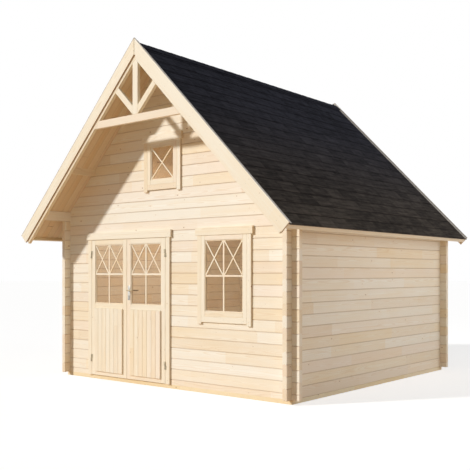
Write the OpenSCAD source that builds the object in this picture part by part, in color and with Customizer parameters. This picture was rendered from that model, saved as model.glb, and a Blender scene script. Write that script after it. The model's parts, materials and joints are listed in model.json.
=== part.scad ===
// Log cabin with a steep saddle roof, a glazed double door, a window and a loft window.
// The front faces -Y, +Z is up, and the origin is on the ground under the middle of the roof.

/* [Log walls] */
// Outside width between the side walls' outer faces
cabin_w = 3950; // [3600:10:4600]
// Outside depth between the front and back walls' outer faces
cabin_d = 3950; // [3400:10:4600]
// Thickness of a wall log
log_t = 58; // [44:1:70]
// Height of one log course
course_h = 135; // [125:1:145]
// Full log courses in a side wall, under its eaves log
side_courses = 16; // [15:1:17]
// Front log courses below the heads of the door and the window
head_courses = 15; // [14:1:16]
// Front log courses below the window
window_courses = 7; // [6:1:8]
// Front log courses below the loft window
loft_courses = 19; // [18:1:19]
// Front log courses below the top of the loft window's frame
loft_head_courses = 24; // [24:1:25]
// How far the logs run past a corner
log_end = 100; // [70:1:130]
// Chamfer along a log's edges, which draws the line between courses
log_chamfer = 6; // [2:0.5:7]
// Width of the tongue on top of a log
tongue_w = 20; // [14:1:26]
// Height of the tongue on top of a log
tongue_h = 8; // [5:1:12]
// Gap left in every joint between two pieces
joint_gap = 0.3; // [0.2:0.05:0.5]

/* [Base and floor] */
// Height of the foundation beams
base_h = 50; // [40:1:70]
// Width of the foundation beams
base_w = 70; // [60:1:100]
// Width of a floor joist
joist_w = 45; // [35:1:70]
// Number of floor joists
joist_count = 7; // [5:1:9]
// Thickness of the floor boards
floor_t = 19; // [16:1:28]
// Gap between the floor boards and the walls
floor_gap = 5; // [2:1:10]

/* [Roof] */
// Slope of the roof
pitch = 45.4; // [43:0.1:47]
// Height of the eaves log at the wall's outer face
eaves_rise = 82; // [75:1:95]
// Reach of the roof boards beyond the side walls
eaves_overhang = 320; // [250:5:400]
// Reach of the roof beyond the front wall, to the bargeboards' face
front_overhang = 545; // [400:5:700]
// Reach of the roof beyond the back wall, to the bargeboards' face
back_overhang = 133; // [120:1:300]
// Thickness of the roof boards
board_t = 19; // [16:1:25]
// Thickness of the bitumen shingle layer
shingle_t = 8; // [5:1:12]
// How far the shingles hang over the eaves
shingle_drip = 15; // [5:1:25]
// Length of one side of the ridge cap, down the slope
cap_reach = 140; // [100:5:200]
// Distance of a middle purlin from the ridge line
purlin_x = 1395; // [1340:5:1430]
// Least height of a middle purlin on its outer face
purlin_min = 30; // [20:1:40]
// Least height of the ridge purlin
ridge_purlin_h = 225; // [180:5:260]
// Width of a bargeboard
barge_w = 142; // [120:1:180]
// Thickness of a bargeboard
barge_t = 18; // [16:1:28]
// Gap between the two bargeboards of a gable, at the ridge
barge_gap = 8; // [1:0.5:12]
// How far a bargeboard stands above the shingles
barge_proud = 15; // [8:1:25]
// Thickness of the eaves fascia
fascia_t = 20; // [16:1:26]
// How far the eaves fascia hangs below the roof boards
fascia_drop = 48; // [30:1:70]

/* [Front truss] */
// Thickness of the truss timbers, front to back
truss_t = 44; // [35:1:60]
// Depth of the truss rafters
rafter_w = 140; // [100:5:160]
// Height of the collar beam's underside above the ground
collar_z = 3325; // [3200:5:3450]
// Height of the collar beam's section
collar_h = 95; // [80:1:110]
// Width of the king post
king_w = 90; // [70:1:110]
// Width of a strut
strut_w = 76; // [60:1:90]
// Angle of a strut above the level
strut_angle = 45; // [40:1:50]

/* [Door] */
// Middle of the doorway, from the middle of the front wall
door_x = -697; // [-760:1:-600]
// Width of one door leaf
leaf_w = 711; // [650:1:740]
// Thickness of a door leaf
leaf_t = 40; // [36:1:46]
// Gap round the leaves, to the frame and to the beam below
leaf_gap = 6; // [5:0.5:10]
// Gap between the two leaves
meeting_gap = 8; // [7:0.5:12]
// Width of a leaf's stiles
stile_w = 72; // [60:1:90]
// Height of a leaf's top rail
top_rail_h = 66; // [50:1:90]
// Height of a leaf's middle rail
mid_rail_h = 65; // [50:1:90]
// Height of a leaf's bottom rail
bottom_rail_h = 54; // [45:1:90]
// Height of the boarded panel in a leaf
panel_h = 875; // [800:1:950]
// Boards in a leaf's panel
panel_boards = 7; // [5:1:9]
// Thickness of the panel boards
panel_t = 34; // [28:1:40]
// How far the panel boards stand proud of the leaf
panel_proud = 20; // [10:1:26]
// Width of the door frame's jambs
jamb_w = 40; // [30:1:50]
// Height of the frame's head, over the door and the window
head_h = 80; // [60:1:100]
// Reach of the stop strips into the doorway, behind the leaves
stop_w = 22; // [18:1:30]
// Height of the threshold behind the leaves
threshold_h = 34; // [24:1:45]

/* [Casings] */
// Thickness of the casing boards outside the wall
casing_t = 25; // [18:1:32]
// Width of the door's side casings
door_casing_w = 72; // [55:1:90]
// Width of the windows' side casings
window_casing_w = 64; // [50:1:80]
// Height of the head casing boards
head_casing_h = 95; // [75:1:110]
// Thickness of the head casing boards
head_casing_t = 34; // [26:1:42]
// How far the head casing runs past the side casings
head_casing_reach = 28; // [10:1:40]
// How far the side casings hang below a window's bottom casing
casing_horn = 25; // [10:1:40]
// Height of a window's bottom casing
bottom_casing_h = 72; // [50:1:90]

/* [Windows] */
// Middle of the window, from the middle of the front wall
window_x = 993; // [950:1:1040]
// Width of the window's glass
window_glass_w = 594; // [500:1:640]
// Middle of the loft window, from the middle of the front wall
loft_x = -43; // [-80:1:80]
// Width of the loft window's glass
loft_glass_w = 408; // [340:1:460]
// Thickness of a sash
sash_t = 40; // [34:1:46]
// Width of a sash's stiles and rails
sash_w = 58; // [45:1:70]
// Width of a window frame's jambs
window_jamb_w = 30; // [22:1:40]
// Height of the window frame's bottom member
window_sill_h = 15; // [12:1:40]
// Height of the loft window frame's bottom member
loft_sill_h = 68; // [40:1:80]
// Height of the loft window frame's head
loft_head_h = 62; // [40:1:80]
// Thickness of the glass
glass_t = 4; // [3:1:6]
// Depth of the glass behind a sash's or leaf's front face
glass_set = 18; // [12:1:24]

/* [Door fittings] */
// Diameter of a hinge barrel
barrel_d = 14; // [11:0.5:16]
// Height of a hinge, both halves
barrel_h = 100; // [80:1:120]
// Diameter of a hinge pin
pin_d = 7; // [5:0.5:8]
// Clearance between a hinge pin and its sleeve
pin_gap = 0.3; // [0.2:0.05:0.5]
// Space between a hinge barrel and the door's face
barrel_gap = 1; // [0.5:0.1:2]
// Width of a hinge flap
flap_w = 22; // [16:1:30]
// Thickness of a hinge flap
flap_t = 3; // [2:0.5:4]
// Height of the lower hinges' middle above the leaf's bottom edge
low_hinge_z = 232; // [180:1:300]
// Distance of the upper hinges' middle below the leaf's top edge
high_hinge_z = 196; // [150:1:260]
// Width of the lock plate
plate_w = 40; // [32:1:46]
// Height of the lock plate
plate_h = 190; // [150:1:220]
// Thickness of the lock plate
plate_t = 4; // [3:0.5:6]
// Distance of the lever's spindle from the leaf's meeting edge
lever_in = 41; // [36:1:46]
// Height of the lever above the leaf's bottom edge
lever_z = 1180; // [1050:1:1300]
// Diameter of the spindle that joins the levers through the leaf
spindle_d = 9; // [7:0.5:11]
// How far the lever's spindle sits above the middle of the lock plate
lever_rise = 32; // [10:1:50]
// Length of the lever from its spindle
lever_l = 88; // [80:1:130]
// Diameter of the lever's neck and arm
lever_d = 16; // [12:1:20]
// Distance from the lock plate to the middle of the lever's arm
lever_stand = 34; // [30:1:55]
// Diameter of the key cylinder
key_d = 17; // [14:1:20]
// Distance of the key cylinder below the lever
key_drop = 72; // [60:1:90]
// How far the key cylinder stands out of the lock plate
key_proud = 5; // [2:1:8]

/* [Hidden] */
$fn = 48;
// How far a cut runs past the piece that it cuts
cut_over = 1;
// Height of the notches above and below a log where another log crosses it
notch_h = course_h / 4 + joint_gap / 2;
// Places along Y are measured from the front wall's outer face, and this moves the origin mid-roof
y_mid = (cabin_d + back_overhang - front_overhang) / 2;
y_barge_front = -front_overhang + barge_t;
y_truss_back = y_barge_front + truss_t;
y_barge_back = cabin_d + back_overhang - barge_t;
half_w = cabin_w / 2;
inner_w = half_w - log_t;
log_l = half_w + log_end;
// The roof boards' underside meets the ridge line here
ridge_z = base_h + side_courses * course_h + eaves_rise + half_w * tan(pitch);
eaves_u = (half_w + eaves_overhang) / cos(pitch);
shingle_v0 = board_t + joint_gap;
shingle_v1 = shingle_v0 + shingle_t;
cap_v0 = shingle_v1 + joint_gap;
barge_v = shingle_v1 + barge_proud;
last_course = floor((ridge_z - base_h) / course_h);
// The doorway, and a leaf on its right side, measured from the doorway's middle
head_z = course_z(head_courses);
door_clear_w = 2 * leaf_w + meeting_gap + 2 * leaf_gap;
leaf_x0 = meeting_gap / 2;
leaf_x1 = leaf_x0 + leaf_w;
leaf_z0 = base_h + leaf_gap;
leaf_z1 = head_z - head_h - leaf_gap;
panel_x0 = leaf_x0 + stile_w + joint_gap;
panel_x1 = leaf_x1 - stile_w - joint_gap;
leaf_glass_z0 = leaf_z0 + bottom_rail_h + panel_h + mid_rail_h;
leaf_glass_z1 = leaf_z1 - top_rail_h;
// The windows' half widths over their sashes, their sills and heads, and their sashes
window_out = window_glass_w / 2 + sash_w + joint_gap;
loft_out = loft_glass_w / 2 + sash_w + joint_gap;
window_z = course_z(window_courses);
loft_z = course_z(loft_courses);
loft_head_z = course_z(loft_head_courses);
window_sash_z0 = window_z + window_sill_h + joint_gap;
window_sash_z1 = head_z - head_h - 2 * joint_gap;
loft_sash_z0 = loft_z + loft_sill_h + joint_gap;
loft_sash_z1 = loft_head_z - loft_head_h - 2 * joint_gap;
// Where the logs end at the doorway and at the window
logs_left_x = door_x - door_clear_w / 2 - jamb_w - joint_gap;
logs_mid_x0 = door_x + door_clear_w / 2 + jamb_w + joint_gap;
logs_mid_x1 = window_x - window_out - window_jamb_w - joint_gap;
logs_right_x = window_x + window_out + window_jamb_w + joint_gap;
// Outer face of the casings, the leaves and the sashes, which lie in one plane
face_y = -casing_t;
leaf_back_y = face_y + leaf_t;
stop_y = leaf_back_y + leaf_gap;
// The hinges' axis and the middles of a leaf's two hinges
hinge_y = face_y - barrel_gap - barrel_d / 2;
hinge_x = door_clear_w / 2 - leaf_gap / 2;
hinge_levels = [leaf_z0 + low_hinge_z, leaf_z1 - high_hinge_z];
// The lever's axis, and the outer and inner face of the lock plates
lever_x = leaf_x0 + lever_in;
lever_at_z = leaf_z0 + lever_z;
plate_y0 = face_y - plate_t;
plate_y1 = leaf_back_y + plate_t;

spruce = "#f0dcb4";
spruce_dark = "#cdab78";
bitumen = "#26282c";
steel = "#b9b9b6";
pane = "#b9cdd2";

// Underside of a front or back course: these walls start with half a log
function course_z(course) = base_h + (course - 0.5) * course_h;
// Underside of a side course: these walls start with a whole log
function side_z(course) = base_h + course * course_h;
// Height of the roof boards' underside over a distance from the ridge line
function roof_z(x) = ridge_z - x * tan(pitch);
// Highest front course line that leaves a purlin this much height under the roof
function seat_course(x, least) = floor((roof_z(x) - least - course_z(0)) / course_h);
// A point on the right roof slope: u runs down the slope from the ridge, v stands square to it
function on_slope(u, v) = [u * cos(pitch) + v * sin(pitch), ridge_z - u * sin(pitch) + v * cos(pitch)];

// A block between two corners, with its Y places measured from the front wall's face
module block(x0, x1, y0, y1, z0, z1) {
    translate([x0, y0 - y_mid, z0]) cube([x1 - x0, y1 - y0, z1 - z0]);
}

// Stretches a flat shape, drawn in X and Z, from one place along Y to another
module along_y(y0, y1) {
    translate([0, y1 - y_mid, 0]) rotate([90, 0, 0]) linear_extrude(height = y1 - y0) children();
}

// A layer of the right roof slope, plumb beside the gap at the ridge and cut square at its lower end
module slope_layer(v0, v1, u_end, y0, y1, gap = joint_gap) {
    x = gap / 2;
    along_y(y0, y1) polygon([
        [x, roof_z(x) + v0 / cos(pitch)],
        on_slope(u_end, v0),
        on_slope(u_end, v1),
        [x, roof_z(x) + v1 / cos(pitch)]]);
}

module on_left() {
    mirror([1, 0, 0]) children();
}

module both_sides() {
    children();
    on_left() children();
}

// Everything below the two roof slopes, less a depth square to them
module under_roof(depth) {
    reach = half_w + eaves_overhang;
    drop = depth / cos(pitch);
    along_y(-front_overhang, cabin_d + back_overhang) polygon([
        [-reach, 0], [reach, 0], [reach, roof_z(reach) - drop], [0, ridge_z - drop],
        [-reach, roof_z(reach) - drop]]);
}

// Cross section of a wall log: a tongue on top, a groove below and chamfered edges
module log_profile() {
    a = log_t / 2;
    c = log_chamfer;
    top = course_h - joint_gap;
    groove = tongue_w / 2 + joint_gap;
    half = [[groove, tongue_h], [groove, 0], [a - c, 0], [a, c], [a, top - c], [a - c, top],
        [tongue_w / 2, top], [tongue_w / 2, top + tongue_h]];
    other = [for (i = [len(half) - 1 : -1 : 0]) [-half[i][0], half[i][1]]];
    polygon(concat(half, other));
}

// A log of the front or back wall, from x0 to x1, with its outer face at y
module log_along_x(x0, x1, y, course) {
    translate([x0, y + log_t / 2 - y_mid, course_z(course)])
        rotate([90, 0, 90]) linear_extrude(height = x1 - x0) log_profile();
}

// Notches above and below the middle of a log that starts at z, where another log crosses it
module notches(x0, x1, y0, y1, z) {
    block(x0, x1, y0, y1, z - cut_over, z + notch_h);
    block(x0, x1, y0, y1, z + course_h - notch_h, z + course_h + tongue_h);
}

// The notches where the right side wall crosses a front or back log
module corner_notches(y, course) {
    notches(inner_w - joint_gap, half_w + joint_gap, y - cut_over, y + log_t + cut_over, course_z(course));
}

// Logs of a front or back wall between two places, lapped with the side walls
module wall_courses(first, last, x0, x1, y) {
    for (course = [first : last]) difference() {
        log_along_x(x0, x1, y, course);
        if (x0 < -half_w) on_left() corner_notches(y, course);
        if (x1 > half_w) corner_notches(y, course);
        if (course == 0) block(x0 - cut_over, x1 + cut_over, y - cut_over, y + log_t + cut_over,
            course_z(0) - cut_over, base_h);
    }
}

// Logs over the openings, cut to the slopes and let in round the purlins
module gable_courses(y) {
    lap_z = course_z(side_courses) + course_h - notch_h;
    purlin_z = course_z(seat_course(purlin_x + log_t / 2, purlin_min)) - joint_gap;
    purlin_in = purlin_x - log_t / 2 - joint_gap;
    ridge_half = log_t / 2 + joint_gap;
    ridge_seat = course_z(seat_course(log_t / 2, ridge_purlin_h)) - joint_gap;
    y0 = y - cut_over;
    y1 = y + log_t + cut_over;
    for (course = [head_courses : last_course]) difference() {
        intersection() {
            log_along_x(-log_l, log_l, y, course);
            under_roof(joint_gap);
        }
        both_sides() {
            if (course <= side_courses) corner_notches(y, course);
            block(inner_w - joint_gap, cabin_w, y0, y1, lap_z, ridge_z);
            block(purlin_in, inner_w + joint_gap, y0, y1, purlin_z, ridge_z);
        }
        block(-ridge_half, ridge_half, y0, y1, ridge_seat, ridge_z);
    }
}

// A log of the right side wall, with laps where the front and back walls cross it
module side_log(course, y0, y1) {
    difference() {
        along_y(y0, y1) translate([half_w - log_t / 2, side_z(course)]) log_profile();
        for (y = [0, cabin_d - log_t]) notches(inner_w - cut_over, half_w + cut_over,
            y - joint_gap, y + log_t + joint_gap, side_z(course));
    }
}

module side_wall() {
    color(spruce) for (course = [0 : side_courses - 1])
        side_log(course, -log_end, cabin_d + log_end);
}

// The top log of a side wall, bevelled to the roof and run out to carry the overhangs
module eaves_log() {
    color(spruce) intersection() {
        side_log(side_courses, y_truss_back, y_barge_back);
        under_roof(joint_gap);
    }
}

// A purlin from the truss to the back bargeboards, bevelled to the roof
module purlin(x, least) {
    color(spruce) intersection() {
        block(x - log_t / 2, x + log_t / 2, y_truss_back, y_barge_back,
            course_z(seat_course(abs(x) + log_t / 2, least)), ridge_z);
        under_roof(joint_gap);
    }
}

module bargeboard(y0) {
    color(spruce) slope_layer(barge_v - barge_w, barge_v, eaves_u, y0, y0 + barge_t, barge_gap);
}

module roof_boards() {
    color(spruce_dark) slope_layer(0, board_t, eaves_u - fascia_t - joint_gap, y_barge_front,
        y_barge_back);
}

module shingles() {
    color(bitumen) slope_layer(shingle_v0, shingle_v1, eaves_u + shingle_drip, y_barge_front,
        y_barge_back);
}

module ridge_cap() {
    color(bitumen) both_sides()
        slope_layer(cap_v0, cap_v0 + shingle_t, cap_reach, y_barge_front, y_barge_back);
}

module fascia() {
    color(spruce) along_y(y_barge_front, y_barge_back) polygon([
        on_slope(eaves_u - fascia_t, -fascia_drop), on_slope(eaves_u, -fascia_drop),
        on_slope(eaves_u, board_t), on_slope(eaves_u - fascia_t, board_t)]);
}

module foundation_beams() {
    color(spruce) {
        for (y = [0, cabin_d - base_w]) block(-half_w, half_w, y, y + base_w, 0, base_h);
        both_sides()
            block(half_w - base_w, half_w, base_w + joint_gap, cabin_d - base_w - joint_gap, 0, base_h);
    }
}

module floor_joists() {
    room = cabin_w - 2 * base_w - joist_w;
    step = room / (joist_count + 1);
    color(spruce) for (i = [1 : joist_count]) translate([i * step - room / 2, 0, 0])
        block(-joist_w / 2, joist_w / 2, base_w + joint_gap, cabin_d - base_w - joint_gap, 0, base_h);
}

module floor_deck() {
    x = inner_w - floor_gap;
    y = log_t + floor_gap;
    color(spruce_dark) block(-x, x, y, cabin_d - y, base_h, base_h + floor_t);
}

module front_wall_left() {
    color(spruce) wall_courses(0, head_courses - 1, -log_l, logs_left_x, 0);
}

// Logs from the doorway to the right corner: whole ones under the window, cut ones beside it
module front_wall_right() {
    color(spruce) {
        difference() {
            wall_courses(0, window_courses - 1, logs_mid_x0, log_l, 0);
            block(logs_mid_x1, logs_right_x, -cut_over, log_t + cut_over,
                window_z - joint_gap, head_z);
        }
        wall_courses(window_courses, head_courses - 1, logs_mid_x0, logs_mid_x1, 0);
        wall_courses(window_courses, head_courses - 1, logs_right_x, log_l, 0);
    }
}

module front_gable() {
    out = loft_out + window_jamb_w + joint_gap;
    color(spruce) difference() {
        gable_courses(0);
        block(loft_x - out, loft_x + out, -cut_over, log_t + cut_over,
            loft_z - joint_gap, loft_head_z);
    }
}

module back_wall() {
    color(spruce) wall_courses(0, head_courses - 1, -log_l, log_l, cabin_d - log_t);
}

module back_gable() {
    color(spruce) gable_courses(cabin_d - log_t);
}

// Everything of the truss that lies between the rafters
module inside_truss() {
    intersection() {
        children();
        under_roof(rafter_w + 2 * joint_gap);
    }
}

module truss_rafters() {
    color(spruce) both_sides() slope_layer(-rafter_w - joint_gap, -joint_gap,
        eaves_u - fascia_t - joint_gap, y_barge_front, y_truss_back - joint_gap);
}

module truss_collar_beam() {
    color(spruce) inside_truss()
        block(-half_w, half_w, y_barge_front, y_truss_back - joint_gap, collar_z, collar_z + collar_h);
}

module truss_king_post() {
    color(spruce) inside_truss() block(-king_w / 2, king_w / 2, y_barge_front,
        y_truss_back - joint_gap, collar_z + collar_h + joint_gap, ridge_z);
}

// Struts fan from the foot of the king post up to the rafters
module truss_struts() {
    foot_z = collar_z + collar_h + joint_gap;
    color(spruce) both_sides() inside_truss() intersection() {
        translate([king_w / 2, 0, foot_z]) rotate([0, -strut_angle, 0])
            block(-cabin_w, cabin_w, y_barge_front, y_truss_back - joint_gap, 0, strut_w);
        block(king_w / 2 + joint_gap, half_w, -front_overhang, 0, foot_z, ridge_z);
    }
}

// Side boards of a casing, from a lower to an upper end
module side_casings(x, out, w, z0, z1) {
    for (x0 = [x - out - w, x + out]) block(x0, x0 + w, face_y, 0, z0, z1);
}

// The thicker head board over a door or window
module head_casing(x, out, z) {
    reach = out + head_casing_reach;
    block(x - reach, x + reach, -head_casing_t, 0, z, z + head_casing_h);
}

// Jambs of a frame, let into the wall between the logs, and its head
module frame_sides(x, out, w, z0, z1, head) {
    for (x0 = [x - out - w, x + out]) block(x0, x0 + w, 0, log_t, z0, z1);
    block(x - out + joint_gap, x + out - joint_gap, 0, log_t, z1 - head, z1);
}

module door_frame() {
    color(spruce) frame_sides(door_x, door_clear_w / 2, jamb_w, base_h, head_z - joint_gap, head_h);
}

module door_stops() {
    z0 = base_h + threshold_h + joint_gap;
    z1 = head_z - joint_gap - head_h - joint_gap;
    out = door_clear_w / 2 - joint_gap;
    color(spruce) {
        for (x = [door_x - out, door_x + out - stop_w]) block(x, x + stop_w, stop_y, log_t, z0, z1);
        block(door_x - out + stop_w + joint_gap, door_x + out - stop_w - joint_gap,
            stop_y, log_t, z1 - stop_w, z1);
    }
}

module door_threshold() {
    out = door_clear_w / 2 - joint_gap;
    color(spruce_dark) block(door_x - out, door_x + out, stop_y, log_t, base_h, base_h + threshold_h);
}

module door_casing() {
    z = head_z - head_h;
    color(spruce) {
        side_casings(door_x, door_clear_w / 2, door_casing_w, base_h - joint_gap, z - joint_gap);
        head_casing(door_x, door_clear_w / 2 + door_casing_w, z);
    }
}

module leaf_block(x0, x1, z0, z1) {
    block(x0, x1, face_y, leaf_back_y, z0, z1);
}

module door_leaf() {
    low_z = leaf_z0 + bottom_rail_h;
    color(spruce) {
        leaf_block(leaf_x0, leaf_x0 + stile_w, leaf_z0, leaf_z1);
        leaf_block(leaf_x1 - stile_w, leaf_x1, leaf_z0, leaf_z1);
        leaf_block(panel_x0, panel_x1, leaf_z0, low_z);
        leaf_block(panel_x0, panel_x1, low_z + panel_h, low_z + panel_h + mid_rail_h);
        leaf_block(panel_x0, panel_x1, leaf_glass_z1, leaf_z1);
    }
}

module door_boards() {
    pitch_x = (panel_x1 - panel_x0) / panel_boards;
    z0 = leaf_z0 + bottom_rail_h + joint_gap;
    y0 = face_y - panel_proud;
    color(spruce) for (i = [0 : panel_boards - 1])
        block(panel_x0 + i * pitch_x, panel_x0 + (i + 1) * pitch_x - joint_gap, y0, y0 + panel_t,
            z0, z0 + panel_h - 2 * joint_gap);
}

module door_glass() {
    y0 = face_y + glass_set;
    color(pane) block(panel_x0, panel_x1, y0, y0 + glass_t,
        leaf_glass_z0 + joint_gap, leaf_glass_z1 - joint_gap);
}

module barrel(d, z0, z1) {
    translate([hinge_x, hinge_y - y_mid, z0]) cylinder(d = d, h = z1 - z0);
}

// Upper half of each hinge, on the leaf, bored for the pin
module door_sleeves() {
    half = barrel_h / 2;
    color(steel) for (z = hinge_levels) difference() {
        union() {
            barrel(barrel_d, z + joint_gap, z + half);
            block(hinge_x - leaf_gap / 2 - flap_w, hinge_x, face_y - flap_t, face_y,
                z + joint_gap, z + half);
        }
        barrel(pin_d + 2 * pin_gap, z, z + half - flap_t);
    }
}

// Lower half of each hinge, on the casing, with the pin that the sleeve turns on
module door_pins() {
    half = barrel_h / 2;
    color(steel) for (z = hinge_levels) union() {
        barrel(barrel_d, z - half, z);
        barrel(pin_d, z - half, z + half - 2 * flap_t);
        block(hinge_x, hinge_x + leaf_gap / 2 + flap_w, face_y - flap_t, face_y, z - half, z);
    }
}

module at_door() {
    translate([door_x, 0, 0]) children();
}

// A round bar along Y between two places measured from the front wall's face
module rod_y(x, z, d, y0, y1) {
    translate([x, y1 - y_mid, z]) rotate([90, 0, 0]) cylinder(d = d, h = y1 - y0);
}

// The bore for the lever's spindle, through the leaf and both lock plates
module spindle_bore() {
    rod_y(lever_x, lever_at_z, spindle_d + 2 * pin_gap, plate_y0 - cut_over, plate_y1 + cut_over);
}

// A lock plate and the end of its key cylinder, bored for the spindle
module plate_and_key(plate_y, key_y) {
    mid = lever_at_z - lever_rise;
    color(steel) difference() {
        union() {
            block(lever_x - plate_w / 2, lever_x + plate_w / 2, plate_y, plate_y + plate_t,
                mid - plate_h / 2, mid + plate_h / 2);
            rod_y(lever_x, lever_at_z - key_drop, key_d, key_y, key_y + plate_t + key_proud);
        }
        spindle_bore();
    }
}

// The lock plates on the leaf's outer and inner face
module lock_plates() {
    plate_and_key(plate_y0, plate_y0 - key_proud);
    plate_and_key(leaf_back_y, leaf_back_y);
}

// A lever's arm with round ends, and its neck from a lock plate
module lever_arm(neck_y, arm_y) {
    rod_y(lever_x, lever_at_z, lever_d, min(neck_y, arm_y), max(neck_y, arm_y));
    translate([lever_x, arm_y - y_mid, lever_at_z]) {
        rotate([0, 90, 0]) cylinder(d = lever_d, h = lever_l);
        for (x = [0, lever_l]) translate([x, 0, 0]) sphere(d = lever_d);
    }
}

// The levers outside and inside, on one spindle
module lever_pair() {
    out_y = plate_y0 - joint_gap;
    in_y = plate_y1 + joint_gap;
    color(steel) {
        lever_arm(out_y, out_y - lever_stand);
        lever_arm(in_y, in_y + lever_stand);
        rod_y(lever_x, lever_at_z, spindle_d, out_y - lever_stand, in_y + lever_stand);
    }
}

module left_door_leaf() at_door() on_left() door_leaf();
module left_door_boards() at_door() on_left() door_boards();
module left_door_glass() at_door() on_left() door_glass();
module left_door_sleeves() at_door() on_left() door_sleeves();
module right_door_leaf() {
    at_door() difference() {
        door_leaf();
        spindle_bore();
    }
}
module right_door_boards() at_door() door_boards();
module right_door_glass() at_door() door_glass();
module right_door_sleeves() at_door() door_sleeves();
module lock_plate() at_door() lock_plates();
module door_lever() at_door() lever_pair();

// A window's frame in the wall: jambs, head and bottom member
module frame_round(x, out, z0, z1, sill, head) {
    color(spruce) {
        frame_sides(x, out, window_jamb_w, z0, z1 - joint_gap, head);
        block(x - out + joint_gap, x + out - joint_gap, 0, log_t, z0, z0 + sill);
    }
}

// Casing boards round a window: sides with horns, a bottom board and a thicker head
module casing_round(x, out, sash_z0, head_at) {
    z0 = sash_z0 - bottom_casing_h;
    color(spruce) {
        side_casings(x, out, window_casing_w, z0 - casing_horn, head_at - joint_gap);
        block(x - out + joint_gap, x + out - joint_gap, face_y, 0, z0, sash_z0 - joint_gap);
        head_casing(x, out + window_casing_w, head_at);
    }
}

// Stiles and rails of a sash round its glass
module sash_round(x, glass_w, z0, z1) {
    out = glass_w / 2 + sash_w;
    y1 = face_y + sash_t;
    color(spruce) {
        for (x0 = [x - out, x + glass_w / 2]) block(x0, x0 + sash_w, face_y, y1, z0, z1);
        for (z = [z0, z1 - sash_w])
            block(x - glass_w / 2 + joint_gap, x + glass_w / 2 - joint_gap, face_y, y1, z, z + sash_w);
    }
}

module glass_in(x, glass_w, z0, z1) {
    y0 = face_y + glass_set;
    color(pane) block(x - glass_w / 2 + joint_gap, x + glass_w / 2 - joint_gap, y0, y0 + glass_t,
        z0 + sash_w + joint_gap, z1 - sash_w - joint_gap);
}

module window_frame() frame_round(window_x, window_out, window_z, head_z, window_sill_h, head_h);
module window_casing() casing_round(window_x, window_out, window_sash_z0, head_z - head_h);
module window_sash() sash_round(window_x, window_glass_w, window_sash_z0, window_sash_z1);
module window_glass() glass_in(window_x, window_glass_w, window_sash_z0, window_sash_z1);
module loft_window_frame() {
    frame_round(loft_x, loft_out, loft_z, loft_head_z, loft_sill_h, loft_head_h);
}
module loft_window_casing() casing_round(loft_x, loft_out, loft_sash_z0, loft_head_z - loft_head_h);
module loft_window_sash() sash_round(loft_x, loft_glass_w, loft_sash_z0, loft_sash_z1);
module loft_window_glass() glass_in(loft_x, loft_glass_w, loft_sash_z0, loft_sash_z1);

foundation_beams();
floor_joists();
floor_deck();
front_wall_left();
front_wall_right();
front_gable();
back_wall();
back_gable();
on_left() side_wall();  // left_wall
side_wall();  // right_wall
both_sides() eaves_log();  // eaves_logs
both_sides() purlin(purlin_x, purlin_min);  // middle_purlins
purlin(0, ridge_purlin_h);  // ridge_purlin
on_left() roof_boards();  // left_roof_boards
roof_boards();  // right_roof_boards
on_left() shingles();  // left_shingles
shingles();  // right_shingles
ridge_cap();
both_sides() bargeboard(-front_overhang);  // front_bargeboards
both_sides() bargeboard(y_barge_back);  // back_bargeboards
both_sides() fascia();  // eaves_fascias
truss_rafters();
truss_collar_beam();
truss_king_post();
truss_struts();
door_frame();
door_stops();
door_threshold();
door_casing();
left_door_leaf();
left_door_boards();
left_door_glass();
left_door_sleeves();
right_door_leaf();
right_door_boards();
right_door_glass();
right_door_sleeves();
at_door() both_sides() door_pins();  // door_hinge_pins
lock_plate();
door_lever();
window_frame();
window_casing();
window_sash();
window_glass();
loft_window_frame();
loft_window_casing();
loft_window_sash();
loft_window_glass();
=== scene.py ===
import json
import math
import random

import bmesh
import bpy
from mathutils import Matrix, Vector


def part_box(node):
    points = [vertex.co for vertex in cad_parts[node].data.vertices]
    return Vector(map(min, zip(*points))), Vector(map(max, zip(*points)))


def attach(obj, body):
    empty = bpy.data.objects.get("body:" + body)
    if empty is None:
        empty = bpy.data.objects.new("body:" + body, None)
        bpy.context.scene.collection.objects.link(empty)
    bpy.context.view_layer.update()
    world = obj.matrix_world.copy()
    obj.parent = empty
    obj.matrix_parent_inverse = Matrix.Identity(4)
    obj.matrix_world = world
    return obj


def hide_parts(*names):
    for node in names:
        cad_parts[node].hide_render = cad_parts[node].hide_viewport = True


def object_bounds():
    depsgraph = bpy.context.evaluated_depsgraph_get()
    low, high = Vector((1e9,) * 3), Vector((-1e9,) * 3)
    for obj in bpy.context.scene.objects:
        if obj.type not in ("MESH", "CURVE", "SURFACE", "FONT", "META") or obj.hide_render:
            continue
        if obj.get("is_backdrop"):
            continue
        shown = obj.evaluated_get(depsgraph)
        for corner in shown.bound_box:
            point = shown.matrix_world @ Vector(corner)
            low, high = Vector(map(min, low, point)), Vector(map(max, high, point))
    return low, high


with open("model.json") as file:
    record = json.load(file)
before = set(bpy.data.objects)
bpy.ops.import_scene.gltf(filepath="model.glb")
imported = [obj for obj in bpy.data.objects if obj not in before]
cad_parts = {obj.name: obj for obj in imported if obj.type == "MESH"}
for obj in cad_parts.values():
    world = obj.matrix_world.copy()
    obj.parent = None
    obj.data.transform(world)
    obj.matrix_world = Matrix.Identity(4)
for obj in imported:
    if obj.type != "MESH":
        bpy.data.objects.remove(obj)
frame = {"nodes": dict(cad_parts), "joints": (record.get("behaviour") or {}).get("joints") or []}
cad_low, cad_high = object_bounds()
scene = bpy.context.scene
scene.view_settings.view_transform = "Standard"

# Camera
# A level camera at eye height, off the cabin's right front corner. Its frame is raised by shift, so
# that posts and corners stay upright as they do in the photograph.
photo_px = 470
focal_px = 753.09
horizon_px = 272.44
eye = Vector((6.8123, -8.6558, 1.477))
heading = math.radians(39.405)
sensor_mm = 36
far_clip = 300

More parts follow.
